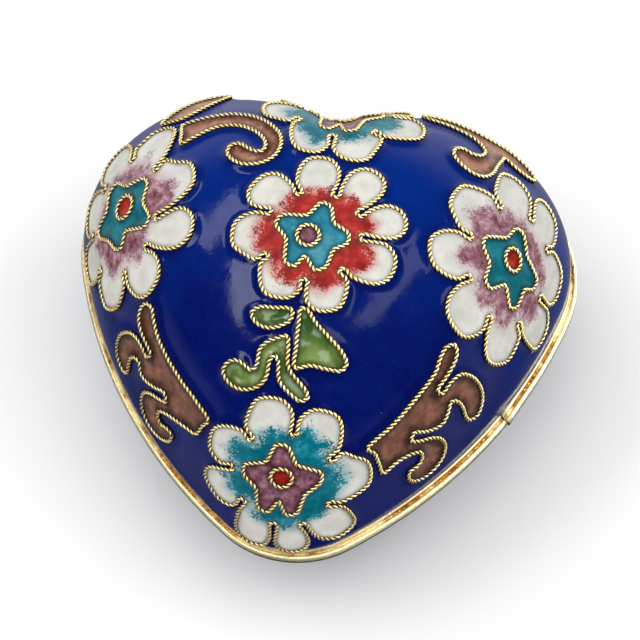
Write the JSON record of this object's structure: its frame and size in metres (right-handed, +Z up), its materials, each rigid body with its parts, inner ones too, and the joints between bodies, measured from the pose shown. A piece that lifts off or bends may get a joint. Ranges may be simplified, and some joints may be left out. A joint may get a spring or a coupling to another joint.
{
  "type": "trinket box",
  "caption": "Small heart-shaped enamelled metal box with a domed lift-off lid, a gilt rim and flower ornament, for keeping trinkets on a dressing table.",
  "frame": {"origin": "centre of the bounding box at the level of the foot ring's underside", "axes": "+X to the box's right across both lobes of the heart, +Y from the heart's point to its notch, +Z up along the way the lid lifts"},
  "size_m": [0.064, 0.0594, 0.0444],
  "materials": {
    "gilt": "gilded copper wire and strip, bright with darker hollows",
    "bare_copper": "plain copper sheet, hidden between the enamels",
    "cobalt_enamel": "glossy vitreous enamel",
    "pale_blue_enamel": "glossy vitreous counter-enamel",
    "white_enamel": "glossy enamel, white at the petal tips with a coloured heart",
    "teal_enamel": "glossy enamel",
    "mauve_enamel": "glossy mottled enamel",
    "red_enamel": "glossy enamel",
    "green_enamel": "glossy translucent enamel",
    "brown_enamel": "glossy mottled enamel"
  },
  "bodies": {
    "base": {"base_copper_bowl": "bare_copper", "base_ground_enamel": "cobalt_enamel", "base_counter_enamel": "pale_blue_enamel", "base_rim_band": "gilt", "locating_lip": "gilt", "foot_ring": "gilt"},
    "lid": {"lid_copper_shell": "bare_copper", "lid_ground_enamel": "cobalt_enamel", "lid_counter_enamel": "pale_blue_enamel", "lid_rim_band": "gilt", "flower_centre_petal_wire": "gilt", "flower_centre_star_wire": "gilt", "flower_centre_ring_wire": "gilt", "flower_centre_petal_enamel": "white_enamel", "flower_centre_star_enamel": "teal_enamel", "flower_centre_middle_enamel": "mauve_enamel", "flower_front_petal_wire": "gilt", "flower_front_star_wire": "gilt", "flower_front_ring_wire": "gilt", "flower_front_petal_enamel": "white_enamel", "flower_front_star_enamel": "mauve_enamel", "flower_front_middle_enamel": "red_enamel", "flower_right_petal_wire": "gilt", "flower_right_star_wire": "gilt", "flower_right_ring_wire": "gilt", "flower_right_petal_enamel": "white_enamel", "flower_right_star_enamel": "teal_enamel", "flower_right_middle_enamel": "red_enamel", "flower_left_petal_wire": "gilt", "flower_left_star_wire": "gilt", "flower_left_ring_wire": "gilt", "flower_left_petal_enamel": "white_enamel", "flower_left_star_enamel": "teal_enamel", "flower_left_middle_enamel": "red_enamel", "flower_back_petal_wire": "gilt", "flower_back_star_wire": "gilt", "flower_back_ring_wire": "gilt", "flower_back_petal_enamel": "white_enamel", "flower_back_star_enamel": "mauve_enamel", "flower_back_middle_enamel": "red_enamel", "scroll_front_right_wire": "gilt", "scroll_front_right_enamel": "brown_enamel", "scroll_front_left_wire": "gilt", "scroll_front_left_enamel": "brown_enamel", "scroll_back_left_wire": "gilt", "scroll_back_left_enamel": "brown_enamel", "scroll_far_left_wire": "gilt", "scroll_far_left_enamel": "brown_enamel", "scroll_back_right_wire": "gilt", "scroll_back_right_enamel": "brown_enamel", "leaf_right_wire": "gilt", "leaf_right_enamel": "green_enamel", "leaf_left_wire": "gilt", "leaf_left_enamel": "green_enamel", "leaf_forked_wire": "gilt", "leaf_forked_enamel": "green_enamel"}
  },
  "joints": [
    {"name": "lid_lift", "type": "slide", "parent": "base", "child": "lid", "axis": [0, 0, 1], "range_m": [0, 0.06]}
  ]
}
